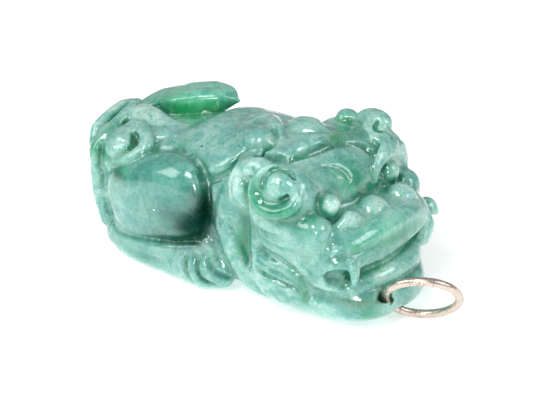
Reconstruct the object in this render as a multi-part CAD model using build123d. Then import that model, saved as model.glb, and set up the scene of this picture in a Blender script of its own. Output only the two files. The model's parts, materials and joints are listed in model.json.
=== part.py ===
from build123d import *
import os

# A pocket-sized guardian-lion pendant: one block of carved jade, and a wire jump ring through its lower lip.
# Frame: +X to the nose, +Y to the animal's left, +Z up. The origin is on the ground under the belly.
# All sizes are in millimetres.

# Driving dimensions of the carving
REAR_X = -29.0  # back of the rump
FRONT_X = 28.2  # front of the lower lip
HALF_WIDTH = 15.3  # outside of the haunches
BACK_Z = 21.6  # top of the back behind the mane
CROWN_Z = 24.6  # top of the forehead
FOOT_Z = 6.0  # top of the feet
SIDES = (-1, 1)  # right side, then left side

# Lower jaw, the mouth above it and the drilled lip
JAW_TOP = 4.7
JAW_HALF = 10.8
JAW_BACK_X = 6.0
JAW_UNDERCUT_X = 22.5  # the chin clears the ground in front of here
MOUTH_TOP = 10.4
MOUTH_BACK_X = 17.5
HOLE_CENTRE = Vector(26.57, -3.17, 3.38)
HOLE_AXIS = Vector(-0.051, -0.678, 0.733).normalized()  # upwards, towards the right cheek
HOLE_RADIUS = 1.3
HOLE_REACH = 4.5  # half the length of the drilling cut

# Jump ring
RING_RADIUS = 5.55  # centre of the wire
WIRE_RADIUS = 0.65
RING_OUTWARD = Vector(0.89, 0.302, 0.342)  # from the hole towards the ring's centre
RING_SET = 0.35  # the wire bows this far back from the hole's axis, so that both ends of the hole clear it
SEAM_GAP = 0.06  # butt joint between the wire's ends
SEAM_ANGLE = 50.0  # from RING_OUTWARD, about the ring's own axis


def pillow(low, high, radius):
    """A box between two corners with every edge rounded."""
    size = [b - a for a, b in zip(low, high)]
    middle = [(a + b) / 2 for a, b in zip(low, high)]
    block = Box(*size)
    return Pos(*middle) * fillet(block.edges(), radius)


def ellipsoid(centre, radii, turn=(0, 0, 0)):
    """An ellipsoid with its half axes along X, Y and Z before it is turned."""
    return Pos(*centre) * Rot(*turn) * scale(Sphere(1), by=radii)


def limb(start, end, radius):
    """A straight rod with round ends."""
    a, b = Vector(*start), Vector(*end)
    along = b - a
    rod = Solid.make_cylinder(radius, along.length, Plane(origin=a, z_dir=along))
    return [rod, Pos(a) * Sphere(radius), Pos(b) * Sphere(radius)]


def curl(centre, radius, wire, axis):
    """A scroll of hair: a round coil with a knob in the middle."""
    seat = Plane(origin=centre, z_dir=axis)
    return [seat * Torus(radius, wire), seat * Sphere(radius * 0.8)]


def bodies():
    """Trunk, rump and the maned neck."""
    trunk = pillow((REAR_X + 1.5, -12.2, 0), (14, 12.2, BACK_Z), 7.0)
    rump = ellipsoid((REAR_X + 9.5, 0, 12.5), (9.5, 12.5, 9.8))
    mane = ellipsoid((3.5, 0, 13.0), (10.5, 13.4, 11.4))
    sole = pillow((-21, -9, 0), (18, 9, 3.0), 1.0)
    return [trunk, rump, mane, sole]


def haunch(side):
    """Thigh and the hind foot lying along the ground."""
    thigh = pillow((-24.8, 5.5, 5.8), (-1.8, HALF_WIDTH, 19.0), 4.6)
    shank = pillow((-24.5, 8.6, 0.3), (-6.0, 14.6, FOOT_Z + 1.0), 2.9)
    paw = ellipsoid((-3.2, 12.2, 3.2), (5.2, 3.6, 3.2))
    parts = [thigh, shank, paw]
    return parts if side > 0 else [mirror(p, about=Plane.XZ) for p in parts]


def foreleg(side):
    """Shoulder, forearm and front paw."""
    upper = limb((3.5, side * 11.0, 15.5), (1.9, side * 11.4, 9.5), 3.1)
    fore = limb((1.9, side * 11.4, 9.5), (8.5, side * 11.2, 3.5), 2.9)
    low_y, high_y = sorted((side * 8.5, side * 13.9))
    paw = pillow((5.5, low_y, 0), (17.0, high_y, FOOT_Z), 2.4)
    return [*upper, *fore, paw]


def skull():
    """Head block with a domed crown and a sloping face, before the mouth is cut."""
    corners = [(5, 2), (5, 23.2), (14, CROWN_Z), (21, 16.6), (24.6, 14.4), (24.6, 9), (19, 2)]
    outline = fillet(make_face(Polyline(*corners, close=True)).vertices(), 2.4)
    block = extrude(Plane.XZ * outline, amount=12.0, both=True)
    cheeks = block.faces().sort_by(Axis.Y)
    return fillet([*cheeks[0].edges(), *cheeks[-1].edges()], 3.4)


def mouth_cut():
    """The wide open mouth, from cheek to cheek."""
    return pillow((MOUTH_BACK_X, -14.0, JAW_TOP - 0.3), (32.0, 14.0, MOUTH_TOP), 2.2)


def lower_jaw():
    """Lower jaw with a rounded front, thinned towards the lip so that the ring can pass under it."""
    front = Rectangle(FRONT_X - JAW_BACK_X, 2 * JAW_HALF)
    outline = fillet(front.vertices(), 8.5)
    slab = extrude(Pos((FRONT_X + JAW_BACK_X) / 2, 0) * outline, JAW_TOP)
    slab = fillet(slab.faces().sort_by(Axis.Z)[0].edges(), 1.6)
    slab = fillet(slab.faces().sort_by(Axis.Z)[-1].edges(), 1.0)
    lift = Plane(origin=(JAW_UNDERCUT_X, 0, 0), z_dir=(-0.42, 0, 1))
    return split(slab, bisect_by=lift, keep=Keep.TOP)


def tongue():
    """The tongue and lower teeth as one bar inside the mouth."""
    return pillow((14.0, -8.6, JAW_TOP - 1.5), (23.4, 8.6, 8.2), 1.7)


def face_features():
    """Nose lobes, eyes, brows, and the scrolls of the ears and cheeks."""
    parts = [ellipsoid((21.2, 0, 16.4), (2.9, 2.9, 2.6))]
    for side in SIDES:
        parts.append(ellipsoid((20.9, side * 5.8, 15.9), (2.8, 2.5, 2.6)))
        parts.append(Pos(17.6, side * 7.5, 18.4) * Sphere(2.1))
        parts.append(ellipsoid((14.6, side * 8.0, 21.0), (3.6, 3.2, 2.6)))
        parts += curl((12.2, side * 12.0, 21.3), 2.0, 1.05, (0.25, side * 0.75, 0.6))
        parts += curl((5.6, side * 12.0, 20.6), 1.9, 1.05, (0.1, side * 0.75, 0.65))
    return parts


def fangs():
    """A fang at each corner of the upper lip, reaching down to the tongue."""
    return [part for side in SIDES for part in limb((21.8, side * 7.8, 11.4), (21.4, side * 7.8, 7.4), 1.15)]


def mane_locks():
    """Locks of hair that run back from the crown, and their end curl."""
    parts = curl((0.8, -4.2, 23.1), 2.0, 1.1, (0, -0.35, 1))
    parts += [
        ellipsoid((8.0, 1.2, 24.2), (5.6, 2.2, 1.5), (0, 3, 12)),
        ellipsoid((8.4, -2.9, 23.6), (5.4, 1.9, 1.5), (0, 3, 2)),
        ellipsoid((4.0, 5.6, 22.6), (5.0, 2.4, 1.9), (0, 0, -15)),
    ]
    return parts


def tail():
    """Forked tail that hugs the rump: a scroll on the right and a long lobe on the left."""
    parts = curl((-23.6, -8.6, 17.4), 2.7, 1.5, (-0.25, -0.6, 0.75))
    parts += [
        ellipsoid((-22.6, 5.4, 20.4), (9.8, 3.6, 3.0), (0, -10, 8)),
        ellipsoid((-20.0, -2.4, 20.3), (6.4, 2.6, 2.0), (0, -6, 0)),
        ellipsoid((-26.9, -2.0, 15.0), (3.0, 6.0, 5.6), (0, 0, 0)),
    ]
    return parts


def hole_drill():
    """The slanted hole through the lower lip."""
    start = HOLE_CENTRE - HOLE_AXIS * HOLE_REACH
    return Solid.make_cylinder(HOLE_RADIUS, 2 * HOLE_REACH, Plane(origin=start, z_dir=HOLE_AXIS))


def jade_carving():
    """The whole animal as one solid, standing flat on the ground."""
    head = Part() + [skull(), *face_features()]
    head = head - mouth_cut()
    rest = [*bodies(), lower_jaw(), tongue(), *fangs(), *mane_locks(), *tail()]
    for side in SIDES:
        rest += [*haunch(side), *foreleg(side)]
    whole = head + rest
    above_ground = Pos(0, 0, 20) * Box(80, 50, 40)
    whole = whole & above_ground
    return (whole - hole_drill()).solids().sort_by(SortBy.VOLUME)[-1]


def jump_ring():
    """A round wire bent to a closed ring, with its butt joint left as a hairline gap."""
    outward = (RING_OUTWARD - HOLE_AXIS * RING_OUTWARD.dot(HOLE_AXIS)).normalized()
    centre = HOLE_CENTRE + outward * (RING_RADIUS - RING_SET)
    plane = Plane(origin=centre, x_dir=outward, z_dir=outward.cross(HOLE_AXIS))
    cut = Rot(0, 0, SEAM_ANGLE) * Pos(RING_RADIUS, 0, 0) * Box(3, SEAM_GAP, 3)
    return plane * (Torus(RING_RADIUS, WIRE_RADIUS) - cut)


def main():
    os.makedirs("parts", exist_ok=True)
    export_step(jade_carving(), "parts/jade_carving.step")
    export_step(jump_ring(), "parts/jump_ring.step")


main()
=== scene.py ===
"""A pocket-sized jade guardian lion with a silver jump ring through its lower lip.

The carving is modelled as signed distances on a grid, in millimetres, in the row's own frame: +X to the nose,
+Y to the animal's left, +Z up, and the ground at Z = 0. Its skin is then cut to a mesh in metres.
"""
import json
import math

import bpy
import numpy as np
import openvdb
from mathutils import Euler, Matrix, Vector


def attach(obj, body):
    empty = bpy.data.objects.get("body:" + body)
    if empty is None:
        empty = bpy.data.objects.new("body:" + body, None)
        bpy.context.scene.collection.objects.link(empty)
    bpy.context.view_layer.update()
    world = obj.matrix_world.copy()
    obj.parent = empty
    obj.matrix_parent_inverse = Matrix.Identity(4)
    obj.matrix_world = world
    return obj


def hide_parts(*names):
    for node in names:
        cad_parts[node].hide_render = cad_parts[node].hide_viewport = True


MM = 0.001
SIDES = (-1, 1)  # right side, then left side

# The block of clay, in millimetres
CLAY_LOW = (-36, -17.5, -1.5)
CLAY_HIGH = (31, 17.5, 28.5)
GRID_STEP = 0.31
FAR = 8.0  # the distance where nothing has been added yet

# The hole in the lower lip, in millimetres
HOLE_RADIUS = 1.08
HOLE_SINK = 1.6  # how far the middle of the drilling lies below the middle of the joint
HOLE_REACH = 4.3  # half the length of the drilling

# The jump ring, in millimetres
RING_OUTWARD = (0.89, 0.302, 0.342)  # from the hole towards the ring's centre, at rest
RING_RADIUS = 5.55  # centre of the wire
RING_SET = 0.35  # the wire bows this far back from the hole's axis
WIRE_ROOM = 0.8  # half the width of the wire, and a little clearance
RING_SWINGS = range(-75, 21, 5)  # degrees, all the way from one end of the joint to the other

# ---------------------------------------------------------------- modelling clay


def unit(v):
    """A direction with length 1."""
    v = np.asarray(v, float)
    return v / np.linalg.norm(v)


def smooth_min(a, b, blend):
    """The union of two distance fields, with a fillet about as wide as blend."""
    near = np.maximum(blend - np.abs(a - b), 0) / blend
    return np.minimum(a, b) - near * near * blend / 4


class Clay:
    """Signed distances on a regular grid: negative inside the stone."""

    def __init__(self, low, high, step):
        self.step = step
        self.low = np.array(low, float)
        self.count = np.ceil((np.array(high) - self.low) / step).astype(int) + 1
        self.field = np.full(self.count, FAR, np.float32)

    def window(self, low, high):
        """The part of the grid inside a box: its slices and its X, Y and Z."""
        first = np.clip(((low - self.low) / self.step).astype(int), 0, self.count - 2)
        last = np.clip(((high - self.low) / self.step).astype(int) + 2, first + 1, self.count)
        where = tuple(slice(a, b) for a, b in zip(first, last))
        axes = [self.low[n] + self.step * np.arange(first[n], last[n]) for n in range(3)]
        return where, np.meshgrid(*[a.astype(np.float32) for a in axes], indexing="ij", sparse=True)

    def add(self, shape, blend=0.6):
        """Joins a shape on, with a soft fillet."""
        low, high, distance = shape
        margin = 1.2 + blend
        where, xyz = self.window(low - margin, high + margin)
        self.field[where] = smooth_min(self.field[where], distance(*xyz), blend)

    def cut(self, shape, blend=0.4):
        """Takes a shape away, with softened edges."""
        low, high, distance = shape
        where, xyz = self.window(low - 1.0 - blend, high + 1.0 + blend)
        self.field[where] = -smooth_min(-self.field[where], distance(*xyz), blend)

    def sample(self, points):
        """The distance at any points, by trilinear interpolation."""
        q = np.clip((points - self.low) / self.step, 0, self.count - 1.001)
        i = q.astype(int)
        f = q - i
        total = np.zeros(len(q))
        for corner in np.ndindex(2, 2, 2):
            weight = np.prod([f[:, n] if corner[n] else 1 - f[:, n] for n in range(3)], axis=0)
            total += weight * self.field[i[:, 0] + corner[0], i[:, 1] + corner[1], i[:, 2] + corner[2]]
        return total


def rounded(parts, radii, square):
    """About the distance to a rounded surface, from a point's offsets as parts of the half sizes."""
    k = sum(a**square for a in parts) ** (1 / square)
    steep = sum((a ** (square - 1) / r) ** 2 for a, r in zip(parts, radii))
    return (k - 1) / (np.sqrt(steep) * k ** (1 - square))


def lump(centre, radii, turn=(0, 0, 0), square=2.0):
    """An ellipsoid, or with square above 2 a rounded box, turned by degrees about X, Y and Z."""
    spin = np.array(Euler([math.radians(a) for a in turn]).to_matrix())
    reach = np.sqrt(((spin * radii) ** 2).sum(axis=1)) * (1 if square == 2 else 1.25)
    centre = np.array(centre, float)

    def distance(x, y, z):
        p = [x - centre[0], y - centre[1], z - centre[2]]
        q = [abs(sum(float(spin[k][n]) * p[k] for k in range(3))) / radii[n] + 1e-6 for n in range(3)]
        return rounded(q, radii, square)

    return centre - reach, centre + reach, distance


def spline(points, steps=6):
    """Points along a smooth curve through the given ones, and where each lies on the list."""
    p = np.array(points, float)
    if len(p) == 2:
        at = np.linspace(0, 1, steps + 1)
        return p[0] + np.outer(at, p[1] - p[0]), at
    p = np.vstack([2 * p[0] - p[1], p, 2 * p[-1] - p[-2]])
    line, at = [], []
    for i in range(len(p) - 3):
        for t in np.arange(steps) / steps:
            a, b, c, d = p[i : i + 4]
            straight = 2 * b + (c - a) * t
            curved = (2 * a - 5 * b + 4 * c - d) * t**2
            line.append(0.5 * (straight + curved + (3 * b - a - 3 * c + d) * t**3))
            at.append(i + t)
    return np.array(line + [p[-2]]), np.array(at + [len(p) - 3.0])


def lock(points, width, height, up, ridges=0, ridge_depth=0.25, square=2, steps=6):
    """A lock of hair, a toe or a groove swept along a smooth curve.

    width and height are half sizes, one number or one for each point. up is the direction that the height
    is measured in, one vector or one for each point. ridges is how many parallel strands its face is cut
    into, and square above 2 gives it flat sides.
    """
    line, at = spline(points, steps)
    knots = np.arange(len(points))
    wide = np.interp(at, knots, np.broadcast_to(width, len(points)))
    tall = np.interp(at, knots, np.broadcast_to(height, len(points)))
    ups = np.array(np.broadcast_to(np.array(up, float), (len(points), 3)))
    ups = np.stack([np.interp(at, knots, ups[:, n]) for n in range(3)], axis=1)
    along = np.gradient(line, axis=0)
    along /= np.linalg.norm(along, axis=1)[:, None]
    ups -= along * (ups * along).sum(axis=1)[:, None]
    ups /= np.linalg.norm(ups, axis=1)[:, None]
    across = np.cross(along, ups)
    reach = float(max(wide.max(), tall.max()))

    def distance(x, y, z):
        x, y, z = np.broadcast_arrays(x, y, z)
        best = np.full(x.shape, 1e6, np.float32)
        result = np.full(x.shape, 6.0, np.float32)
        for i in range(len(line) - 1):
            a, b = line[i], line[i + 1]
            step = b - a
            length = float(step @ step)
            p = [x - a[0], y - a[1], z - a[2]]
            t = np.clip((p[0] * step[0] + p[1] * step[1] + p[2] * step[2]) / length, 0, 1)
            off = [p[n] - t * step[n] for n in range(3)]
            far = off[0] ** 2 + off[1] ** 2 + off[2] ** 2
            near = far < best
            if not near.any():
                continue
            t, off = t[near], [o[near] for o in off]
            w = wide[i] + t * (wide[i + 1] - wide[i])
            h = tall[i] + t * (tall[i + 1] - tall[i])
            s = sum(off[n] * (across[i][n] + t * (across[i + 1][n] - across[i][n])) for n in range(3))
            r = sum(off[n] * (ups[i][n] + t * (ups[i + 1][n] - ups[i][n])) for n in range(3))
            end = np.sqrt(np.maximum(far[near] - s * s - r * r, 0))
            q = [np.abs(s / w) + 1e-6, np.abs(r / h) + 1e-6, end / w + 1e-6]
            d = rounded(q, (w, h, w), square)
            if ridges:
                strand = np.abs(np.cos(math.pi * (s / w * ridges / 2 + (ridges % 2) / 2 + 0.5)))
                d = d + ridge_depth * (1 - strand) * np.clip(1.2 - np.abs(s / w), 0, 1)
            best[near] = far[near]
            result[near] = d
        return result

    return line.min(axis=0) - reach, line.max(axis=0) + reach, distance


def spiral(face, start, radius, turns, inner=0.25, rise=0.0, points=9, sense=1):
    """Points of a scroll round the origin, which winds in from radius to inner times radius.

    face is the direction that the scroll faces, start is the direction of its outer end, and
    rise lifts the middle towards the viewer. sense 1 winds anticlockwise as the viewer sees it.
    """
    face = unit(face)
    first = unit(np.array(start, float) - face * np.dot(start, face))
    second = np.cross(face, first) * sense
    result = []
    for t in np.linspace(0, 1, points):
        angle = turns * 2 * math.pi * t
        r = radius * (1 - (1 - inner) * t)
        result.append((first * math.cos(angle) + second * math.sin(angle)) * r + face * rise * t)
    return result


def mirrored(side, *points):
    """Points given for the animal's right side, put on the side asked for."""
    return [(p[0], p[1] * -side, p[2]) for p in points]


# ---------------------------------------------------------------- the animal


def carve_trunk(clay):
    """Back, belly and rump: one rounded block that the rest is carved out of."""
    clay.add(lump((-9.0, 0, 10.2), (19.3, 12.2, 11.9), (0, -8, 0), 2.9), 1.0)
    clay.add(lump((-20, 0, 9.6), (9.8, 12.4, 9.6), square=3.0), 2.5)
    clay.add(lump((-6, 1.4, 11.9), (10, 11.6, 12.3), square=2.6), 1.5)
    clay.add(lump((1, 0, 11.6), (10, 12.5, 13.0), square=2.6), 2.0)
    clay.add(lump((-24.6, -1.5, 15.4), (5.0, 10.6, 4.3), square=2.5), 1.0)


def carve_haunch(clay, side):
    """Thigh, the fold under it, and the hind foot with its toes."""
    flank = (0, side, 0.1)
    clay.add(lump((-13.0, side * 9.6, 11.9), (11.8, 5.9, 7.4), (0, -17, 0), 2.8), 0.4)
    leg = mirrored(side, (-22.6, -10.9, 3.2), (-18.5, -11.7, 2.6), (-11, -12.2, 2.8), (-4.6, -12.3, 3.6))
    clay.add(lock(leg, (2.8, 3.1, 2.9, 3.0), (3.4, 3.0, 3.0, 3.6), (0, 0, 1)), 1.0)
    foot = mirrored(side, (-5.4, -12.4, 3.4), (-2.4, -12.4, 3.3), (0.1, -11.3, 3.0))
    clay.add(lock(foot, (2.9, 2.8, 1.9), (3.6, 3.6, 2.9), (0, 0, 1)), 0.5)
    fold = mirrored(side, (-20.5, -13.9, 3.6), (-14.5, -14.4, 4.2), (-8.5, -14.6, 5.2), (-3.0, -13.8, 7.0))
    clay.add(lock(fold, (0.7, 1.2, 1.5, 0.9), (0.7, 0.9, 0.9, 0.8), flank, 2, 0.2, steps=9), 0.4)
    ankle = mirrored(side, (-1.9, -12.9, 8.4), (-1.0, -12.6, 6.8), (-1.4, -13.0, 5.4))
    clay.add(lock(ankle, 0.9, 1.0, flank), 0.8)
    crease = mirrored(
        side,
        (-20.0, -12.4, 18.6),
        (-16.6, -10.6, 19.4),
        (-13.6, -9.4, 19.9),
        (-9.8, -9.8, 20.6),
        (-6.4, -10.6, 20.4),
        (-4.0, -11.3, 19.2),
        (-2.5, -12.2, 16.8),
        (-1.9, -12.9, 13.6),
        (-2.3, -13.3, 10.4),
    )
    clay.cut(
        lock(
            crease,
            (0.3, 0.4, 0.5, 0.6, 0.6, 0.7, 0.7, 0.6, 0.4),
            (0.4, 0.7, 1.0, 1.1, 1.2, 1.3, 1.2, 1.0, 0.5),
            (0, side * 0.7, 0.7),
            steps=9,
        ),
        0.7,
    )
    for start, middle, end in (
        ((-4.6, -15.2, 5.6), (-4.2, -15.4, 2.6), (-2.4, -15.2, 0.6)),
        ((-2.6, -14.9, 5.8), (-1.9, -15.0, 3.0), (0.2, -13.6, 1.2)),
        ((-0.9, -14.2, 6.0), (0.2, -13.8, 3.9), (1.9, -12.1, 2.6)),
    ):
        clay.cut(lock(mirrored(side, start, middle, end), 0.32, 0.8, flank), 0.4)


def carve_foreleg(clay, side):
    """Shoulder, the forearm bent at the elbow, and the front paw under the cheek."""
    flank = (0, side, 0.1)
    nape = mirrored(
        side,
        (-3.6, -11.6, 18.6),
        (-1.6, -11.4, 19.0),
        (0.4, -10.6, 20.3),
        (1.4, -9.2, 21.7),
        (1.8, -7.8, 22.6),
    )
    clay.cut(
        lock(nape, (0.7, 0.8, 0.7, 0.5, 0.3), (1.3, 1.4, 1.2, 0.9, 0.5), (0, side * 0.6, 0.8), steps=9),
        0.7,
    )
    shoulder = mirrored(side, (4.4, -9.8, 19.0), (2.2, -10.5, 16.0), (1.0, -10.9, 12.4))
    clay.add(lock(shoulder, (3.2, 3.1, 2.4), (2.9, 2.8, 2.3), flank), 0.5)
    forearm = mirrored(side, (1.5, -11.0, 12.0), (3.0, -10.4, 8.0), (4.8, -9.2, 3.8), (6.8, -7.8, 2.0))
    clay.add(lock(forearm, (2.3, 2.7, 2.6, 2.4), (2.8, 2.9, 2.8, 2.6), flank), 0.4)
    inner = mirrored(side, (6.3, -11.0, 15.2), (6.7, -10.6, 10.0), (7.2, -9.6, 4.5))
    clay.add(lock(inner, (1.2, 1.7, 1.7), (1.5, 1.9, 1.9), flank), 0.35)
    paw = mirrored(side, (7.6, -10.0, 6.2), (10.6, -10.5, 6.0), (13.6, -10.2, 5.7), (15.0, -9.8, 5.3))
    clay.add(lock(paw, (2.6, 3.2, 2.9, 2.3), (3.4, 4.1, 4.3, 3.7), (0, 0, 1), square=2.4), 0.35)
    sole = mirrored(side, (5.0, -7.4, 2.4), (10.0, -8.0, 2.4), (14.6, -7.4, 2.4))
    clay.add(lock(sole, 2.2, 2.6, (0, 0, 1)), 0.8)
    for drop in (0.0, 1.4, 2.7):
        groove = mirrored(
            side,
            (8.0, -13.0, 9.8 - drop),
            (10.8, -13.6, 9.5 - drop),
            (13.6, -13.2, 8.7 - drop * 0.9),
            (16.2, -12.2, 7.2 - drop * 0.7),
        )
        clay.cut(lock(groove, 0.3, 0.7, flank, steps=9), 0.35)
    for x in (11.8, 14.0):
        toe = mirrored(side, (x, -13.8, 4.4), (x + 0.9, -13.2, 2.9), (x + 1.2, -12.2, 1.6))
        clay.cut(lock(toe, 0.32, 0.7, flank), 0.35)


def carve_cheek_edge(clay, side):
    """The lines that part the paw and the forearm from the cheek."""
    edge = mirrored(
        side,
        (7.0, -12.6, 10.4),
        (9.4, -12.9, 10.0),
        (13.2, -13.2, 9.6),
        (16.2, -13.0, 8.6),
        (17.3, -12.2, 6.4),
        (16.8, -11.6, 3.4),
    )
    clay.cut(
        lock(
            edge, (0.2, 0.4, 0.45, 0.5, 0.5, 0.3), (0.4, 0.9, 1.0, 1.1, 1.0, 0.5), (0.2, side, 0.1), steps=9
        ),
        0.5,
    )
    column = mirrored(side, (6.3, -13.2, 17.0), (5.9, -12.9, 13.4), (5.5, -12.3, 10.0), (6.0, -11.8, 6.6))
    clay.cut(lock(column, (0.3, 0.7, 0.8, 0.5), (0.4, 1.0, 1.1, 0.6), (0, side, 0.1), steps=9), 0.8)


def carve_skull(clay):
    """Cranium, sloping face, and the blunt muzzle."""
    clay.add(lump((8.6, 0, 16.2), (9.0, 12.8, 8.2), square=3.0), 0.8)
    clay.add(lump((9.6, 0, 7.4), (9.0, 10.2, 7.4), square=3.0), 1.0)
    clay.add(lump((12.6, 0, 20.6), (4.0, 5.4, 3.7)), 1.2)
    clay.add(lump((15.4, 0, 18.0), (2.9, 4.6, 3.8)), 1.5)
    clay.add(lump((17.8, 0, 11.0), (7.4, 12.9, 5.9), (0, 7, 0), 3.3), 1.6)
    for side in SIDES:
        clay.add(lump((12.2, side * 10.8, 20.0), (4.8, 3.3, 4.2), square=2.6), 0.8)
        clay.add(lump((14.6, side * 9.0, 18.6), (2.6, 4.6, 3.5)), 1.2)
        clay.add(lump((12.4, side * 9.8, 12.8), (5.6, 3.3, 3.6), square=2.4), 0.8)
        clay.add(lump((17.8, side * 11.2, 15.2), (3.0, 2.5, 3.0), square=2.4), 0.8)
    clay.add(lump((21.4, 13.0, 10.4), (2.2, 2.0, 3.4), (0, 6, 0)), 0.3)


def carve_jaws(clay):
    """The open mouth from corner to corner, the tongue in it, and the lower lip's rim."""
    clay.add(lump((14.9, -0.7, 3.6), (13.3, 10.4, 4.4), (0, -3, 0), 2.7), 0.8)
    mouth = [
        (21.9, -11.8, 9.4),
        (24.2, -9.8, 8.8),
        (26.6, -5.5, 8.6),
        (28.0, 0, 8.9),
        (25.4, 9.0, 9.2),
        (21.0, 12.8, 9.2),
    ]
    clay.cut(
        lock(mouth, (1.2, 1.9, 2.4, 2.6, 2.6, 1.8), (1.5, 2.5, 3.1, 3.6, 3.6, 2.8), (1, 0, 0.1), steps=9),
        0.4,
    )
    clay.cut(lump((22.6, -11.2, 9.4), (1.6, 1.4, 1.6)), 0.4)
    tongue = [(21.6, -9.2, 6.6), (23.2, -7.4, 7.0), (24.9, -2.0, 7.6), (24.3, 4.4, 8.0), (20.6, 9.6, 8.0)]
    clay.add(lock(tongue, (1.0, 1.6, 1.9, 1.9, 1.6), (1.2, 1.6, 1.9, 1.9, 1.6), (0, 0, 1), steps=9), 0.4)
    gums = [(22.6, 9.0, 6.0), (25.0, 5.4, 5.8), (26.0, 1.0, 5.6)]
    clay.add(lock(gums, (0.8, 0.9, 0.5), (0.8, 0.9, 0.5), (0, 0, 1), steps=9), 0.3)
    rim = [
        (17.8, -10.9, 3.9),
        (21.4, -9.6, 3.9),
        (24.8, -7.0, 4.0),
        (26.7, -2.4, 4.3),
        (26.0, 3.0, 4.9),
        (22.8, 8.2, 5.4),
        (18.0, 10.8, 5.6),
    ]
    clay.add(lock(rim, (0.8, 0.95, 1.1, 1.1, 1.0, 0.9, 0.8), 0.7, (-0.25, 0, 1), square=2.6, steps=10), 0.2)
    for side in SIDES:
        fang = mirrored(side, (23.2, -9.0, 12.2), (24.0, -9.1, 10.8), (23.9, -8.8, 8.7))
        clay.add(lock(fang, (1.8, 1.7, 1.2), (0.8, 0.9, 0.7), (1, -0.5 * side, 0), 2.6), 0.4)
    line = [
        (21.6, -12.4, 12.8),
        (23.5, -10.6, 13.1),
        (24.6, -7.9, 13.5),
        (25.1, -4.4, 13.7),
        (25.2, -0.8, 13.8),
        (24.8, 4.4, 13.8),
    ]
    clay.cut(lock(line, 0.3, (0.1, 0.2, 0.25, 0.3, 0.3, 0.1), (1, 0, 0.2), steps=9), 0.8)


def carve_nose(clay):
    """Three round lobes across the end of the nose, in front of the crease over the muzzle."""
    roll = [(20.9, -8.6, 13.7), (22.8, -4.6, 14.4), (23.2, 0, 14.6), (22.8, 4.6, 14.4), (20.9, 8.6, 13.7)]
    clay.add(lock(roll, 1.6, 1.6, (0, 0, 1), steps=8), 1.6)
    lobe = [(19.4, -9.6, 14.0), (20.4, -8.5, 15.7), (20.9, -6.6, 16.6), (21.4, -5.0, 16.0)]
    clay.add(lock(lobe, (0.6, 1.0, 1.5, 1.0), (0.6, 1.1, 1.7, 1.2), (0.4, 0, 0.9), steps=9), 0.3)
    clay.add(lump((20.7, -0.2, 16.0), (2.5, 2.6, 2.0), (0, 28, 0), 2.3), 0.3)
    clay.add(lump((20.7, 6.9, 15.7), (2.5, 2.3, 2.1), (0, 28, 0), 2.3), 0.3)


def carve_eye(clay, side):
    """Eyeball like a round button, under a ridged hood on the left and an engraved arc on the right."""
    face = (0.75, side * 0.2, 0.6)
    if side > 0:
        hood = [
            (18.0, 3.9, 18.6),
            (17.6, 5.1, 21.0),
            (17.0, 8.2, 22.3),
            (16.6, 11.4, 21.5),
            (17.0, 12.7, 19.4),
            (17.4, 12.4, 17.4),
        ]
        clay.add(lump((16.0, 8.2, 18.2), (2.4, 3.4, 3.2)), 0.8)
        clay.add(
            lock(
                hood, (0.5, 1.0, 1.5, 1.8, 1.5, 0.5), (0.4, 0.5, 0.65, 0.7, 0.6, 0.3), face, 3, 0.2, steps=10
            ),
            0.8,
        )
    else:
        arc = [(14.2, -7.1, 23.1), (14.9, -4.6, 23.1), (16.4, -2.6, 22.2), (17.5, -2.0, 20.7)]
        clay.cut(lock(arc, 0.2, (0.2, 0.4, 0.4, 0.2), face, steps=9), 0.35)
    eye_x = 17.6 if side > 0 else 18.1
    rim = np.array((eye_x + 0.2, side * 7.8, 18.8))
    moat = [rim + v for v in spiral(face, (0, 0, 1), 2.0, turns=1.0, inner=1.0, points=13)]
    clay.cut(lock(moat, 0.35, 0.45, face, steps=6), 0.5)
    clay.add(lump((eye_x, side * 7.8, 18.6), (1.7, 1.75, 2.0), (0, 15, 0)), 0.05)


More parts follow.
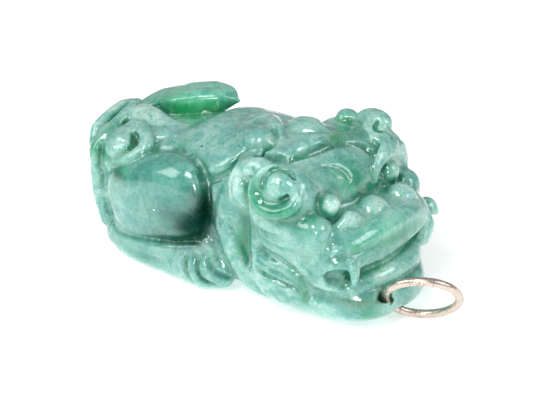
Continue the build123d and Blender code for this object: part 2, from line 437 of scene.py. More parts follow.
def carve_ear(clay, side):
    """The big scroll behind the eye, with its ribbons running under it to the cheek."""
    face = unit((0.3, side * 0.75, 0.55))
    centre = np.array((12.2, side * 12.0, 21.5))
    ring = mirrored(
        side,
        (12.4, -11.4, 24.1),
        (10.6, -12.2, 24.0),
        (9.1, -13.2, 22.5),
        (8.8, -13.9, 20.2),
        (10.4, -14.2, 18.5),
        (13.2, -14.3, 18.4),
        (15.6, -13.7, 19.6),
        (16.3, -12.6, 21.2),
    )
    clay.add(lock(ring, (0.5, 0.8, 1.0, 1.1, 1.1, 1.1, 1.0, 0.6), 0.85, face, steps=9), 0.4)
    winding = spiral(face, (0, 0, 1), 2.4, turns=1.0, inner=1.0, points=13, sense=-side)
    moat = [centre + face * 1.3 + v for v in winding]
    clay.cut(lock(moat, 0.4, 0.6, face, steps=6), 0.4)
    clay.add(lump(centre + face * 0.1, (2.15, 2.1, 2.35), (0, 12, 0), 2.3), 0.05)
    winding = spiral(face, (-0.6, 0, 0.6), 1.5, turns=0.9, rise=0.2, sense=-side)
    hook = [centre + face * 2.25 + v for v in winding]
    clay.cut(lock(hook, 0.18, 0.22, face, steps=8), 0.3)
    crescent = mirrored(
        side,
        (7.7, -13.2, 18.8),
        (8.7, -13.9, 17.2),
        (11.0, -14.2, 16.3),
        (14.0, -13.9, 16.2),
        (17.0, -12.9, 16.8),
    )
    clay.add(lock(crescent, (0.5, 1.2, 1.5, 1.2, 0.3), 0.35, (0, side, 0.2), steps=9), 0.5)
    band = mirrored(
        side,
        (7.8, -13.0, 16.2),
        (9.8, -13.4, 14.7),
        (13.0, -13.5, 14.1),
        (17.3, -12.9, 14.6),
        (20.0, -11.6, 15.1),
        (21.2, -9.6, 15.8),
    )
    clay.add(lump((13.6, side * 11.7, 14.6), (5.6, 2.2, 3.0), square=2.4), 0.6)
    clay.add(lock(band, (0.5, 1.2, 1.4, 1.2, 0.9, 0.4), 0.3, (0.1, side, 0.3), 5, 0.1, steps=10), 0.5)


def carve_neck_curl(clay, side):
    """The curl behind the ear: an arch of hair over a drop."""
    face = (0.3, side * 0.7, 0.6)
    clay.add(lump((6.0, side * 10.2, 19.6), (4.0, 2.9, 4.2), square=2.5), 0.8)
    arch = mirrored(
        side,
        (3.4, -12.6, 17.6),
        (3.8, -12.7, 20.0),
        (5.1, -12.4, 22.2),
        (7.2, -12.1, 23.4),
        (9.2, -12.0, 23.7),
        (10.2, -12.2, 22.6),
    )
    clay.add(lock(arch, (0.7, 1.1, 1.4, 1.5, 1.3, 0.7), (0.8, 1.0, 1.2, 1.2, 1.0, 0.8), face, steps=9), 0.4)
    drop = mirrored(side, (5.4, -12.9, 20.4), (5.6, -13.1, 18.8), (6.6, -13.2, 17.2))
    clay.add(lock(drop, (1.5, 1.5, 0.6), (1.4, 1.4, 0.7), face), 0.2)
    if side > 0:
        clay.add(lump((11.4, 12.2, 24.3), (3.2, 2.3, 2.0)), 0.3)
        clay.add(lump((6.4, 11.8, 23.8), (1.9, 1.8, 1.4)), 0.3)
        shelf = [(12.4, 9.6, 24.2), (14.6, 9.4, 23.4), (16.4, 9.6, 22.6)]
        clay.add(lock(shelf, (1.2, 1.9, 1.2), (0.7, 0.9, 0.7), (0.5, 0, 0.85)), 0.8)
        hook = [
            (13.0, 10.9, 24.9),
            (13.3, 9.7, 24.3),
            (14.2, 9.3, 24.0),
            (15.0, 10.3, 24.0),
            (15.9, 10.6, 23.5),
            (16.6, 9.8, 23.2),
        ]
        clay.cut(lock(hook, 0.28, (0.4, 0.7, 0.7, 0.6, 0.4, 0.1), (0.5, -0.2, 0.8), steps=9), 0.3)


def carve_mane(clay):
    """Locks that run back from the crown, with a round curl at their end."""
    face = unit((0.5, -0.6, 0.6))
    clay.add(lump((0.8, -3.6, 22.6), (3.4, 3.4, 2.9)), 0.8)
    band = [
        (-0.2, -6.0, 23.2),
        (-1.6, -4.4, 23.7),
        (-3.0, -1.6, 23.9),
        (-3.4, 1.2, 24.0),
        (-1.8, 2.0, 24.2),
        (1.6, -0.6, 24.7),
        (3.8, -2.8, 24.3),
        (5.6, -4.8, 23.4),
        (6.2, -6.2, 22.6),
    ]
    clay.add(lock(band, (0.5, 1.0, 1.2, 1.3, 1.4, 1.4, 1.2, 1.0, 0.6), 0.9, (0.1, -0.2, 1), steps=9), 0.4)
    moat = [(0.4, -2.6, 25.6), (2.4, -2.2, 25.6), (4.2, -3.6, 25.1), (5.0, -5.4, 24.0), (4.8, -6.9, 22.8)]
    clay.cut(lock(moat, (0.2, 0.5, 0.5, 0.5, 0.4), (0.3, 0.9, 1.0, 0.9, 0.6), (0.3, -0.3, 1), steps=8), 0.3)
    clay.add(lump((2.4, -4.9, 23.1), (2.8, 2.6, 2.8)), 0.1)
    clay.cut(lump((-0.2, -3.6, 25.4), (0.7, 0.6, 0.9)), 0.5)
    smile = [(-0.3, -5.5, 24.7), (0.8, -5.2, 25.4), (1.9, -4.0, 25.9), (2.4, -3.0, 25.9)]
    clay.cut(lock(smile, (0.15, 0.3, 0.3, 0.1), (0.2, 0.35, 0.35, 0.2), face, steps=8), 0.4)
    broad = [(1.6, 2.4, 23.4), (3.4, 2.6, 24.2), (5.8, 3.0, 24.6), (9.4, 3.2, 24.3)]
    clay.add(lock(broad, (1.6, 2.7, 2.4, 0.6), (0.9, 1.3, 1.2, 0.5), (0, -0.2, 1), 2, 0.12, steps=9), 0.3)
    narrow = [(8.6, -5.4, 23.6), (9.4, -3.6, 24.2), (10.2, -1.0, 24.7), (10.4, 2.8, 24.3)]
    clay.add(lock(narrow, (0.7, 1.8, 1.7, 0.6), (0.8, 1.3, 1.2, 0.6), (0, -0.1, 1), 5, 0.22, steps=9), 0.3)
    crest = [
        (9.8, -8.0, 22.9),
        (11.5, -4.6, 24.1),
        (12.6, -0.4, 24.5),
        (13.3, 3.0, 24.0),
        (14.8, 5.2, 22.7),
        (16.0, 5.9, 21.6),
    ]
    clay.cut(lock(crest, (0.5, 0.6, 0.7, 0.8, 0.9, 0.4), 0.9, (0, 0, 1), steps=9), 0.5)
    pit = [(2.2, -9.6, 21.2), (4.8, -8.8, 22.6), (7.4, -7.9, 23.4), (9.4, -7.2, 23.8)]
    clay.cut(lock(pit, (0.4, 0.9, 1.3, 0.6), (0.5, 1.0, 1.8, 0.6), (0, 0, 1), steps=8), 0.6)


def carve_tail(clay):
    """The forked tail: a scroll on the right, a flame in the middle and a long plume on the left."""
    back = unit((-0.25, -0.6, 0.75))
    pad = [
        (-22.8, -12.2, 15.2),
        (-19.0, -12.2, 17.4),
        (-17.2, -10.6, 19.2),
        (-19.2, -8.6, 20.4),
        (-22.6, -7.2, 20.4),
        (-24.6, -8.4, 18.8),
        (-24.2, -10.4, 17.4),
    ]
    clay.add(lump((-21.8, -9.6, 18.0), (4.6, 3.4, 2.4), (35, 0, 0), 2.4), 0.4)
    clay.add(lock(pad, (0.5, 1.2, 1.4, 1.4, 1.2, 1.2, 1.2), 1.2, back, square=2.4, steps=9), 0.3)
    well = [
        (-21.0, -9.6, 20.6),
        (-20.0, -9.8, 20.0),
        (-19.2, -10.9, 19.4),
        (-19.8, -12.2, 18.6),
        (-21.6, -12.8, 17.6),
    ]
    clay.cut(lock(well, (0.3, 0.8, 0.9, 0.4, 0.2), (0.5, 1.3, 1.4, 0.8, 0.4), back, steps=9), 0.4)
    clay.add(lump((-22.2, -10.5, 18.9), (1.8, 1.6, 1.6)), 0.2)
    root = [(-25.4, -11.6, 4.6), (-27.0, -11.2, 8.6), (-27.6, -11.0, 13.0), (-27.6, -11.0, 16.6)]
    clay.add(lock(root, (1.2, 1.7, 1.9, 1.7), (1.3, 1.5, 1.5, 1.3), (-0.8, -0.5, 0)), 0.6)
    rear = [
        (-28.6, -10.6, 17.0),
        (-29.4, -9.0, 18.7),
        (-30.0, -6.0, 19.6),
        (-30.2, -2.4, 20.2),
        (-30.2, 0.6, 20.0),
    ]
    clay.add(lock(rear, (1.3, 1.7, 1.8, 1.9, 1.4), (1.2, 1.4, 1.4, 1.5, 1.2), (-0.8, 0, 0.5)), 0.4)
    ribbon = [
        (-26.8, -12.6, 15.2),
        (-27.2, -12.1, 16.8),
        (-26.9, -10.5, 18.6),
        (-26.6, -8.0, 20.0),
        (-26.8, -4.8, 21.3),
        (-27.4, -2.6, 21.9),
    ]
    clay.add(
        lock(
            ribbon,
            (0.9, 1.5, 1.5, 1.5, 1.3, 0.9),
            (0.9, 1.0, 1.1, 1.1, 1.0, 0.8),
            (-0.5, -0.4, 0.75),
            3,
            0.25,
            steps=10,
        ),
        0.3,
    )
    flame = [
        (-27.0, -3.8, 20.2),
        (-25.2, -3.6, 20.8),
        (-22.6, -3.8, 20.7),
        (-19.4, -3.6, 20.5),
        (-15.6, -2.4, 20.9),
    ]
    clay.add(lock(flame, (2.0, 2.8, 2.9, 2.2, 0.5), (1.1, 1.6, 1.5, 0.9, 0.4), (0, -0.2, 1), steps=9), 0.3)
    small = [(-19.6, -6.8, 19.8), (-17.4, -6.6, 20.2), (-15.0, -6.0, 20.7)]
    clay.add(lock(small, (1.3, 1.8, 0.6), (1.0, 1.0, 0.4), (0, -0.4, 1), 2, 0.15), 0.3)
    plume = [
        (-30.4, 0.4, 19.0),
        (-27.0, 4.0, 20.2),
        (-22.8, 5.6, 21.2),
        (-18.8, 6.9, 22.2),
        (-15.6, 7.7, 22.7),
        (-13.6, 8.0, 22.8),
    ]
    clay.add(
        lock(
            plume,
            (1.0, 3.4, 4.4, 4.0, 2.6, 0.4),
            (0.8, 1.9, 2.4, 2.3, 1.7, 0.4),
            (0, 0, 1),
            square=4.5,
            steps=10,
        ),
        0.25,
    )


def bore(centre, axis, radius, reach):
    """A round drilling along an axis."""
    centre = np.array(centre, float)
    axis = unit(axis)
    margin = np.abs(axis) * reach + radius

    def distance(x, y, z):
        p = (x - centre[0], y - centre[1], z - centre[2])
        along = sum(p[n] * float(axis[n]) for n in range(3))
        across = np.sqrt(np.maximum(sum(a**2 for a in p) - along**2, 0))
        return np.maximum(across - radius, np.abs(along) - reach)

    return centre - margin, centre + margin, distance


def wire_room(hole, axis, swings):
    """The space that the ring's wire passes through at the given swings in degrees about the hole's axis."""
    axis = unit(axis)
    rest = np.array(RING_OUTWARD, float)
    rest = unit(rest - axis * (rest @ axis))
    seats = []
    for swing in swings:
        outward = np.array(Matrix.Rotation(math.radians(swing), 3, axis)) @ rest
        seats.append((hole + outward * (RING_RADIUS - RING_SET), np.cross(outward, axis)))
    centres = np.array([seat[0] for seat in seats])
    margin = RING_RADIUS + WIRE_ROOM

    def distance(x, y, z):
        nearest = np.float32(FAR)
        for centre, across in seats:
            p = (x - centre[0], y - centre[1], z - centre[2])
            height = sum(p[n] * float(across[n]) for n in range(3))
            radial = np.sqrt(np.maximum(sum(a**2 for a in p) - height**2, 0))
            nearest = np.minimum(nearest, np.sqrt((radial - RING_RADIUS) ** 2 + height**2) - WIRE_ROOM)
        return nearest

    return centres.min(axis=0) - margin, centres.max(axis=0) + margin, distance


def drill_lip(clay, centre, axis):
    """The slope under the chin, the slanted hole in the lower lip, and room for the wire as it swings."""
    clay.cut(lump((31.4, 0, -4.3), (14.0, 18.0, 7.0), (0, -22.8, 0), 4.0), 0.6)
    clay.cut(bore(centre - unit(axis) * HOLE_SINK, axis, HOLE_RADIUS, HOLE_REACH), 0.15)
    clay.cut(wire_room(centre, axis, RING_SWINGS), 0.15)


def polish(clay):
    """Rounds the sharpest edges off, as polishing does."""
    for axis in range(3):
        f = np.moveaxis(clay.field, axis, 0)
        f[1:-1] = (f[:-2] + 6 * f[1:-1] + f[2:]) / 8


def flatten(clay):
    """Grinds the underside flat."""
    z = clay.low[2] + clay.step * np.arange(clay.count[2], dtype=np.float32)
    clay.field = -smooth_min(-clay.field, np.broadcast_to(z, clay.field.shape).astype(np.float32), 0.8)


def carve_animal(step, hole, hole_axis):
    """The whole carving, drilled for the ring."""
    clay = Clay(CLAY_LOW, CLAY_HIGH, step)
    carve_trunk(clay)
    for side in SIDES:
        carve_haunch(clay, side)
        carve_foreleg(clay, side)
    carve_skull(clay)
    carve_jaws(clay)
    carve_nose(clay)
    for side in SIDES:
        carve_cheek_edge(clay, side)
        carve_eye(clay, side)
        carve_ear(clay, side)
        carve_neck_curl(clay, side)
    carve_mane(clay)
    carve_tail(clay)
    flatten(clay)
    drill_lip(clay, hole, hole_axis)
    polish(clay)
    return clay


def skin(clay):
    """The clay's surface as points, triangles and quads, in millimetres."""
    grid = openvdb.FloatGrid()
    grid.copyFromArray(clay.field)
    points, triangles, quads = grid.convertToPolygons(isovalue=0.0, adaptivity=0.0)
    return points * clay.step + clay.low, triangles, quads


def normals_at(clay, points):
    """Outward directions of the surface."""
    eps = clay.step * 0.8
    grad = [clay.sample(points + eps * axis) - clay.sample(points - eps * axis) for axis in np.eye(3)]
    grad = np.stack(grad, axis=1)
    return grad / (np.linalg.norm(grad, axis=1)[:, None] + 1e-9)


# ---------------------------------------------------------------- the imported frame

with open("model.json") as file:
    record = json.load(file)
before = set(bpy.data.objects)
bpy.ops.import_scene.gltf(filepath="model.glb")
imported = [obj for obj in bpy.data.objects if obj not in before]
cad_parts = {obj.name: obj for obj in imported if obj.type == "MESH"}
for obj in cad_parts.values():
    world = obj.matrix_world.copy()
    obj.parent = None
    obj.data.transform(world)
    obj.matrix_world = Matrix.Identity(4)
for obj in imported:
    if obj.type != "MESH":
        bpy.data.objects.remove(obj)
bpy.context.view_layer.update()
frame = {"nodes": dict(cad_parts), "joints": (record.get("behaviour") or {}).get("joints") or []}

# ---------------------------------------------------------------- colours


def linear(red, green, blue):
    """An sRGB colour of 0 to 255 as linear light."""
    rgb = np.array((red, green, blue)) / 255
    return np.where(rgb <= 0.04045, rgb / 12.92, ((rgb + 0.055) / 1.055) ** 2.4)


PALE = linear(184, 224, 214)
TEAL = linear(98, 177, 160)
GREEN = linear(46, 172, 134)
VIVID = linear(36, 190, 120)
DEEP = linear(0, 58, 46)
DARK_TEAL = linear(50, 128, 116)
FRESH = linear(140, 222, 194)
OCHRE = linear(128, 128, 66)
MILKY = linear(214, 238, 228)
MIDDLE = linear(118, 182, 169)  # the colour that the tints below are measured against

# What the stone's colour is multiplied by; the first is painted shade, deep green in the hollows
HOLLOW_SHADE_TINT = linear(10, 130, 96) / MIDDLE
MOTTLE_TINT = linear(76, 156, 146) / MIDDLE
VEIN_TINT = linear(70, 160, 132) / MIDDLE
THREAD_TINT = linear(70, 150, 136) / MIDDLE
GRAIN_TINT = (0.78, 0.84, 0.84)

# Veins and clouds in the stone, and patches of painted shade and painted light where marked: colour, centre
# in mm, half sizes in mm, strength
CLOUDS = (
    (FRESH, (-22.5, 6.0, 23.4), (10.0, 6.5, 3.0), 1.0),  # plume
    (VIVID, (-20.0, 2.0, 21.4), (6.0, 2.0, 2.0), 1.0),
    (VIVID, (-16.6, 4.4, 22.4), (3.0, 2.6, 1.4), 0.9),
    (GREEN, (-26.8, -12.5, 17.9), (2.4, 2.2, 2.2), 1.0),  # ribbon
    (GREEN, (-26.5, -9.4, 20.2), (2.0, 3.4, 1.6), 0.9),
    (MILKY, (-20.5, -10.0, 19.0), (5.0, 4.0, 3.0), 0.8),  # scroll
    (MILKY, (-29.6, -6.6, 19.8), (3.2, 6.6, 3.0), 1.0),  # rear lobe
    (OCHRE, (-20.3, -9.6, 19.0), (1.1, 1.1, 1.4), 0.6),
    (MILKY, (-22.0, -3.8, 21.6), (8.0, 3.4, 2.6), 1.0),  # flame
    (TEAL, (-12.0, -15.0, 9.8), (8.0, 2.4, 4.4), 0.7),  # haunch
    (DARK_TEAL, (-7.0, -14.8, 12.4), (5.0, 2.6, 5.0), 0.8),
    (DARK_TEAL, (-14.0, -15.0, 16.6), (3.6, 2.0, 1.4), 0.5),
    # painted shade: the next two deep green patches darken the crease between the haunch and the foreleg
    (DEEP, (-2.4, -13.2, 13.4), (3.0, 3.0, 5.0), 1.0),
    (DEEP, (-4.2, -14.2, 10.0), (3.4, 2.8, 3.2), 0.85),
    (DEEP, (-9.5, -14.6, 7.2), (5.0, 1.8, 1.6), 0.5),
    (GREEN, (-20.2, -13.6, 15.8), (4.2, 2.6, 1.8), 1.0),  # haunch, top
    (DEEP, (-20.0, -14.6, 15.0), (2.8, 1.6, 1.2), 0.5),
    (TEAL, (-10.0, -13.4, 18.0), (8.0, 3.6, 2.4), 1.0),
    (TEAL, (-8.6, -15.2, 14.6), (5.6, 1.8, 1.4), 0.8),
    (PALE, (-7.0, -6.0, 21.6), (6.0, 4.5, 3.0), 0.7),  # back
    (PALE, (2.6, -5.0, 24.2), (3.4, 3.2, 3.0), 0.8),  # mane curl
    (PALE, (7.0, -2.0, 24.6), (4.0, 4.0, 2.0), 0.5),
    (GREEN, (5.6, -12.4, 12.6), (1.4, 2.0, 4.0), 1.0),  # beside the forearm
    (DARK_TEAL, (5.6, -12.6, 13.2), (1.4, 1.6, 2.4), 0.7),
    (GREEN, (4.8, -12.4, 10.2), (1.2, 1.6, 2.8), 0.8),
    (GREEN, (9.4, -14.0, 20.2), (1.8, 2.0, 3.0), 1.0),  # round the ear
    (GREEN, (13.0, -14.8, 18.9), (4.0, 1.6, 1.4), 1.0),
    (GREEN, (15.2, -14.0, 19.2), (2.2, 1.8, 1.8), 1.0),
    (OCHRE, (14.8, -13.7, 17.0), (1.6, 1.2, 0.8), 0.45),
    (GREEN, (17.8, -11.8, 18.0), (1.8, 1.6, 1.8), 0.8),
    (GREEN, (17.8, -13.6, 15.6), (1.4, 1.4, 1.0), 0.6),
    (GREEN, (17.2, -1.4, 20.8), (2.4, 3.2, 2.8), 0.9),  # forehead
    (GREEN, (18.2, 0.6, 18.4), (1.6, 4.0, 1.6), 0.9),
    (VIVID, (11.1, 2.6, 24.6), (1.2, 2.0, 1.2), 0.9),  # behind the crown
    (VIVID, (7.2, 10.6, 23.8), (1.6, 1.6, 1.2), 0.7),
    (GREEN, (10.4, 6.8, 23.8), (2.6, 3.0, 1.6), 0.8),
    (MILKY, (19.2, -7.9, 19.2), (1.8, 1.9, 2.0), 1.0),  # eyes
    (MILKY, (18.6, 7.9, 19.2), (1.8, 1.8, 2.0), 0.7),
    (PALE, (12.6, -13.2, 22.2), (2.4, 2.2, 2.4), 0.9),  # ear scrolls
    (MILKY, (5.6, -13.4, 19.6), (2.2, 2.2, 3.0), 1.0),
    (MILKY, (20.8, -7.0, 16.8), (2.2, 3.0, 2.0), 0.9),  # nose lobes
    (MILKY, (21.6, -0.6, 17.2), (2.8, 3.0, 2.2), 1.0),
    (MILKY, (22.0, 6.6, 16.8), (3.0, 3.0, 2.4), 1.0),
    (PALE, (14.0, -12.8, 12.2), (6.0, 3.0, 2.4), 0.8),  # cheek
    (FRESH, (24.2, -3.6, 15.0), (2.2, 6.5, 1.8), 0.8),  # muzzle
    (VIVID, (24.2, -9.1, 13.9), (0.4, 0.7, 0.6), 1.0),
    (GREEN, (16.4, -12.0, 5.2), (1.0, 1.8, 3.0), 0.8),  # front of the paw
    (GREEN, (25.2, -0.4, 12.8), (2.4, 6.0, 1.1), 1.0),  # upper lip
    (TEAL, (25.2, -0.6, 11.0), (2.0, 6.0, 1.2), 0.8),
    (TEAL, (-14.0, -14.5, 4.0), (9.0, 3.0, 3.4), 0.6),  # hind foot
    (TEAL, (-2.0, -13.6, 3.4), (5.0, 3.0, 3.0), 0.5),  # hind paw
    (TEAL, (1.2, -13.0, 16.6), (1.8, 1.8, 2.4), 0.8),  # elbow
    (GREEN, (11.4, -14.7, 18.0), (2.6, 1.2, 1.4), 0.8),  # under the ear
    (TEAL, (16.4, -14.0, 16.6), (5.0, 1.8, 1.2), 0.9),
    (TEAL, (25.0, -8.0, 3.4), (5.0, 3.4, 1.8), 0.7),  # chin
    # painted light: a milky patch lifting the shade on the far brow
    (MILKY, (13.4, 10.2, 24.4), (3.2, 3.4, 2.0), 0.9),  # far brow
    (OCHRE, (24.6, -8.8, 5.0), (4.6, 2.8, 0.8), 0.5),  # lip
    (GREEN, (26.1, -7.8, 3.2), (1.4, 1.6, 1.6), 0.7),
    (MILKY, (25.2, -3.4, 9.2), (2.4, 5.0, 1.6), 0.7),  # tongue
)


def stone_colour_and_painted_light(clay, points, normals):
    """Linear colour of each point, and how much the fine mottling may change it.

    Clouds of green lie in pale stone. Painted shade darkens it deep green in the hollows, and painted light
    makes it milky on edges where little stone lies behind the surface.
    """
    x, y, z = points.T
    drift = np.sin(x * 0.31 + 1.7 * np.sin(y * 0.23 + 0.4))
    lift = np.cos(z * 0.37 + 1.3 * np.sin(x * 0.19))
    wave = drift * lift * 0.5 + 0.5
    colour = PALE + (TEAL - PALE) * (0.15 + 0.75 * wave)[:, None]
    free = np.ones(len(points))
    for tint, centre, size, strength in CLOUDS:
        reach = ((points - centre) / size) ** 2
        weight = strength * np.exp(-reach.sum(axis=1) ** 1.3)
        colour += (tint - colour) * weight[:, None]
        free *= 1 - 0.9 * weight
    # Painted shade: the colour is darkened towards deep green where the surface is shut in by the carving
    # around it
    near_sky = np.clip(clay.sample(points + normals * 0.9) / 0.9, 0, 1)
    open_sky = np.clip(clay.sample(points + normals * 2.2) / 2.2, 0, 1)
    hollow_shade = 1 - 0.5 * near_sky - 0.5 * open_sky
    colour *= 1 - np.clip(hollow_shade * 1.1, 0, 0.8)[:, None] * (1 - HOLLOW_SHADE_TINT)
    # Painted light: on open edges with little stone behind the surface the colour turns milky, as if lit
    # through
    thin_glow = np.clip(1 + clay.sample(points - normals * 1.6) / 1.5, 0, 1) * (1 - hollow_shade) * free
    colour += (MILKY - colour) * (thin_glow * 0.55)[:, None]
    return np.clip(np.column_stack([colour, free]), 0, 1)


# ---------------------------------------------------------------- materials


class Nodes:
    """Short hand for building a node tree."""

    def __init__(self, name):
        self.material = bpy.data.materials.new(name)
        self.material.use_nodes = True
        self.tree = self.material.node_tree
        self.shader = self.tree.nodes["Principled BSDF"]

    def add(self, kind, inputs=None, **settings):
        """A new node of a kind, with its inputs and settings."""
        node = self.tree.nodes.new("ShaderNode" + kind)
        for key, value in settings.items():
            setattr(node, key, value)
        for key, value in (inputs or {}).items():
            self.feed(node.inputs[key], value)
        return node

    def feed(self, socket, value):
        """Links an output to a socket, or sets its value."""
        if isinstance(value, bpy.types.NodeSocket):
            self.tree.links.new(value, socket)
        else:
            socket.default_value = value

    def shade(self, **inputs):
        """Sets the shader's inputs, with _ for each space in their names."""
        for key, value in inputs.items():
            self.feed(self.shader.inputs[key.replace("_", " ")], value)

    def millimetres(self):
        """Position on the object, in millimetres."""
        place = self.add("TexCoord").outputs["Object"]
        return self.add("Mapping", {"Vector": place, "Scale": (1000, 1000, 1000)}).outputs["Vector"]

    def noise(self, place, scale, detail=4.0, rough=0.55, warp=0.0):
        """Fractal noise, from 0 to 1."""
        pattern = {"Scale": scale, "Detail": detail, "Roughness": rough, "Distortion": warp}
        return self.add("TexNoise", {"Vector": place, **pattern}).outputs["Fac"]

    def ramp(self, value, low, high, out_low=0.0, out_high=1.0):
        """A smooth step from out_low to out_high, as value goes from low to high."""
        names = {"Value": value, "From Min": low, "From Max": high, "To Min": out_low, "To Max": out_high}
        return self.add("MapRange", names, interpolation_type="SMOOTHSTEP").outputs["Result"]

    def maths(self, operation, a, b):
        """One sum on two values."""
        node = self.add("Math", operation=operation)
        self.feed(node.inputs[0], a)
        self.feed(node.inputs[1], b)
        return node.outputs[0]

    def mix(self, factor, a, b):
        """Colour a, turned into colour b as far as factor says."""
        node = self.add("Mix", data_type="RGBA")
        self.feed(node.inputs["Factor"], factor)
        self.feed(node.inputs["A"], a)
        self.feed(node.inputs["B"], b)
        return node.outputs["Result"]

    def tone(self, factor, colour, tint):
        """Multiplies a colour by a tint, as far as factor says."""
        node = self.add("Mix", data_type="RGBA", blend_type="MULTIPLY")
        for key, value in zip(("Factor", "A", "B"), (factor, colour, (*tint, 1))):
            self.feed(node.inputs[key], value)
        return node.outputs["Result"]


# Specks in the stone, and near-white dots that are painted glints: colour, centre in mm, radius in mm
SPECKS_AND_GLINTS = (
    (linear(8, 22, 20), (-7.2, -8.0, 21.5), 0.2),
    (linear(20, 40, 34), (5.0, -2.2, 25.3), 0.16),
    (linear(20, 40, 34), (3.8, 0.4, 24.5), 0.14),
    (linear(20, 40, 34), (4.4, 1.4, 25.1), 0.18),
    (linear(150, 70, 30), (-19.9, -3.0, 21.0), 0.2),
    (linear(90, 30, 16), (-3.0, -10.3, 17.7), 0.25),
    # painted glints: near-white dots standing in for small highlights on crests
    (linear(240, 250, 246), (-13.3, -11.8, 19.3), 0.2),
    (linear(240, 250, 246), (-24.8, -12.1, 15.0), 0.16),
    (linear(240, 250, 246), (-14.3, -6.4, 20.8), 0.18),
    (linear(240, 250, 246), (21.5, -11.2, 14.7), 0.16),
    (linear(240, 250, 246), (-10.8, -15.5, 12.0), 0.18),
)


def jade():
    """Polished, slightly translucent jade."""
    n = Nodes("jade")
    place = n.millimetres()
    # The stone attribute holds the stone's colour with painted shade in the hollows and creases, and painted
    # light on slim edges and the far brow, baked in
    stone = n.add("Attribute", attribute_name="stone").outputs["Color"]
    free = n.add("Attribute", attribute_name="stone").outputs["Alpha"]
    mottle = n.ramp(n.noise(place, 0.30, 8.0, 0.66, 0.8), 0.40, 0.62)
    colour = n.tone(n.maths("MULTIPLY", mottle, 0.85), stone, MOTTLE_TINT)
    veins = n.ramp(n.noise(place, 0.62, 9.0, 0.72, 1.8), 0.51, 0.63)
    colour = n.tone(n.maths("MULTIPLY", veins, 0.7), colour, VEIN_TINT)
    threads = n.ramp(n.noise(place, 1.5, 6.0, 0.75, 2.6), 0.54, 0.66)
    colour = n.tone(n.maths("MULTIPLY", threads, 0.45), colour, THREAD_TINT)
    cloud = n.maths("MULTIPLY", n.ramp(n.noise(place, 0.46, 7.0, 0.7, 0.6), 0.50, 0.66), free)
    colour = n.mix(n.maths("MULTIPLY", cloud, 0.65), colour, (*PALE, 1))
    channels = n.add("SeparateColor")
    n.feed(channels.inputs["Color"], stone)
    polish = n.ramp(channels.outputs["Green"], 0.04, 0.24)
    grain = n.ramp(n.noise(place, 2.6, 6.0, 0.7), 0.32, 0.7)
    colour = n.tone(grain, colour, GRAIN_TINT)
    # dark and brown specks of the stone, and near-white painted glints
    for tint, centre, radius in SPECKS_AND_GLINTS:
        away = n.add("VectorMath", operation="DISTANCE")
        n.feed(away.inputs[0], place)
        n.feed(away.inputs[1], centre)
        speck_and_glint = n.ramp(away.outputs["Value"], radius * 0.6, radius * 1.2, 1.0, 0.0)
        colour = n.mix(speck_and_glint, colour, (*tint, 1))
    swell = n.maths("MULTIPLY", n.noise(place, 0.8, 3.0), 0.35)
    pits = n.maths("MULTIPLY", n.noise(place, 3.0, 4.0), 0.04)
    relief = n.maths("ADD", swell, pits)
    bump = n.add("Bump", {"Height": relief, "Strength": 0.25, "Distance": 0.0005}).outputs["Normal"]
    n.shade(
        Base_Color=colour,
        Roughness=n.ramp(n.noise(place, 1.6, 4.0), 0.3, 0.7, 0.10, 0.2),
        Normal=bump,
        IOR=1.66,
        Subsurface_Weight=0.9,
        Subsurface_Radius=(0.35, 1.0, 0.85),
        Subsurface_Scale=0.0012,
        Specular_IOR_Level=n.maths("MULTIPLY", polish, 0.5),
        Coat_Weight=n.maths("MULTIPLY", polish, 0.5),
        Coat_Roughness=0.04,
    )
    return n.material


def worn_silver():
    """Silver wire with tarnish in its scratches."""
    n = Nodes("worn_silver")
    place = n.millimetres()
    tarnish = n.ramp(n.noise(place, 0.9, 6.0, 0.7, 0.8), 0.52, 0.72)
    colour = n.mix(n.maths("MULTIPLY", tarnish, 0.8), (*linear(222, 206, 194), 1), (*linear(120, 88, 70), 1))
    scuffs = n.noise(place, 2.4, 5.0, 0.7)
    bump = n.add("Bump", {"Height": scuffs, "Strength": 0.2, "Distance": 0.0002}).outputs["Normal"]
    n.shade(Base_Color=colour, Metallic=1.0, Roughness=n.ramp(scuffs, 0.3, 0.7, 0.18, 0.42), Normal=bump)
    return n.material


# ---------------------------------------------------------------- the pieces


def mesh_object(name, points, faces, colour):
    """A smooth mesh from points in millimetres, with a colour for each point."""
    mesh = bpy.data.meshes.new(name)
    mesh.from_pydata((points * MM).tolist(), [], faces)
    mesh.shade_smooth()
    layer = mesh.color_attributes.new("stone", "FLOAT_COLOR", "POINT")
    layer.data.foreach_set("color", colour.ravel())
    result = bpy.data.objects.new(name, mesh)
    bpy.context.scene.collection.objects.link(result)
    return result


def make_carving():
    """The carved animal, drilled about the axis that the ring swings on."""
    hinge = frame["joints"][0]
    step = GRID_STEP
    clay = carve_animal(step, np.array(hinge["pos_m"]) / MM, hinge["axis"])
    points, triangles, quads = skin(clay)
    # These colours include painted shade in the hollows and creases and painted light on slim edges and the
    # far brow
    colour = stone_colour_and_painted_light(clay, points, normals_at(clay, points))
    carving = mesh_object("carved_lion", points, triangles.tolist() + quads.tolist(), colour)
    carving.data.materials.append(jade())
    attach(carving, "carving")
    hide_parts("jade_carving")


def dress_ring():
    """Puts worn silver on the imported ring."""
    ring = frame["nodes"]["jump_ring"]
    ring.data.materials.clear()
    ring.data.materials.append(worn_silver())
    ring.data.shade_smooth()


make_carving()
dress_ring()

# ---------------------------------------------------------------- studio

FLOOR_SIZE = 3.0
FLOOR_GLOW = 0.45
SKY_STRENGTH = 0.34
TARGET = Vector((0, 0, 0.011))
CAMERA_AWAY = 0.241
CAMERA_AZIMUTH = 40  # degrees
CAMERA_RISE = 25  # degrees
LENS = 100  # millimetres
SENSOR = 36  # millimetres

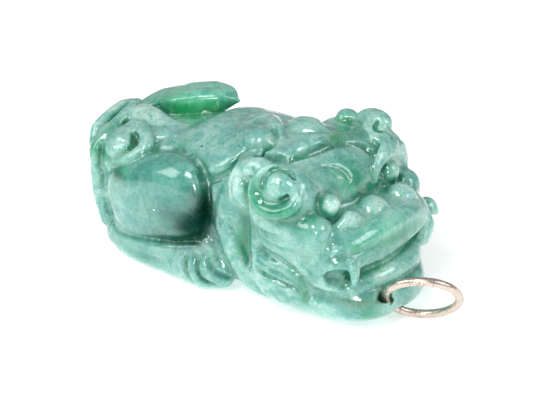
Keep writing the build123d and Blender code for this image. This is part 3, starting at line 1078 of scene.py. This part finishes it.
# Soft lights: name, azimuth and rise in degrees, distance and size in metres, power in watts
LAMPS = (
    ("softbox_left", -40, 34, 0.5, 0.24, 0.66),
    ("softbox_top", 8, 54, 0.5, 0.18, 0.85),
    ("softbox_right", 110, 35, 0.6, 0.25, 0.8),
    ("softbox_front", 34, 19, 0.32, 0.07, 0.2),
)


def make_floor():
    """White paper that the object stands on."""
    half = FLOOR_SIZE / 2
    corners = [(-half, -half, 0), (half, -half, 0), (half, half, 0), (-half, half, 0)]
    mesh = bpy.data.meshes.new("floor")
    mesh.from_pydata(corners, [], [(0, 1, 2, 3)])
    floor = bpy.data.objects.new("floor", mesh)
    bpy.context.scene.collection.objects.link(floor)
    n = Nodes("paper")
    n.shade(Base_Color=(0.9, 0.92, 0.92, 1), Roughness=0.9, Specular_IOR_Level=0.1)
    n.shade(Emission_Color=(1, 1, 1, 1), Emission_Strength=FLOOR_GLOW)
    mesh.materials.append(n.material)


def place_round(item, azimuth, rise, away):
    """Puts a lamp or the camera at a distance from the object, by degrees round and above it, facing it.

    Azimuth 0 looks at the animal's right side, and azimuth 90 at its nose.
    """
    turn, lift = math.radians(azimuth), math.radians(rise)
    back = Vector((math.sin(turn) * math.cos(lift), -math.cos(turn) * math.cos(lift), math.sin(lift)))
    item.location = TARGET + back * away
    item.rotation_euler = back.to_track_quat("Z", "Y").to_euler()
    bpy.context.scene.collection.objects.link(item)


def make_lamp(name, azimuth, rise, away, size, power):
    """A square soft light that faces the object."""
    light = bpy.data.lights.new(name, "AREA")
    light.shape = "SQUARE"
    light.size = size
    light.energy = power
    place_round(bpy.data.objects.new(name, light), azimuth, rise, away)


def make_camera():
    """A long lens that looks down on the animal's right side."""
    lens = bpy.data.cameras.new("camera")
    lens.lens = LENS
    lens.sensor_width = SENSOR
    lens.clip_start = 0.01
    camera = bpy.data.objects.new("camera", lens)
    place_round(camera, CAMERA_AZIMUTH, CAMERA_RISE, CAMERA_AWAY)
    bpy.context.scene.camera = camera


def make_sky():
    """Even white light from all round."""
    world = bpy.data.worlds.new("studio")
    world.use_nodes = True
    sky = world.node_tree.nodes["Background"]
    sky.inputs["Color"].default_value = (1, 1, 1, 1)
    sky.inputs["Strength"].default_value = SKY_STRENGTH
    bpy.context.scene.world = world
    bpy.context.scene.view_settings.view_transform = "Standard"


make_floor()
make_camera()
make_sky()
for lamp in LAMPS:
    make_lamp(*lamp)
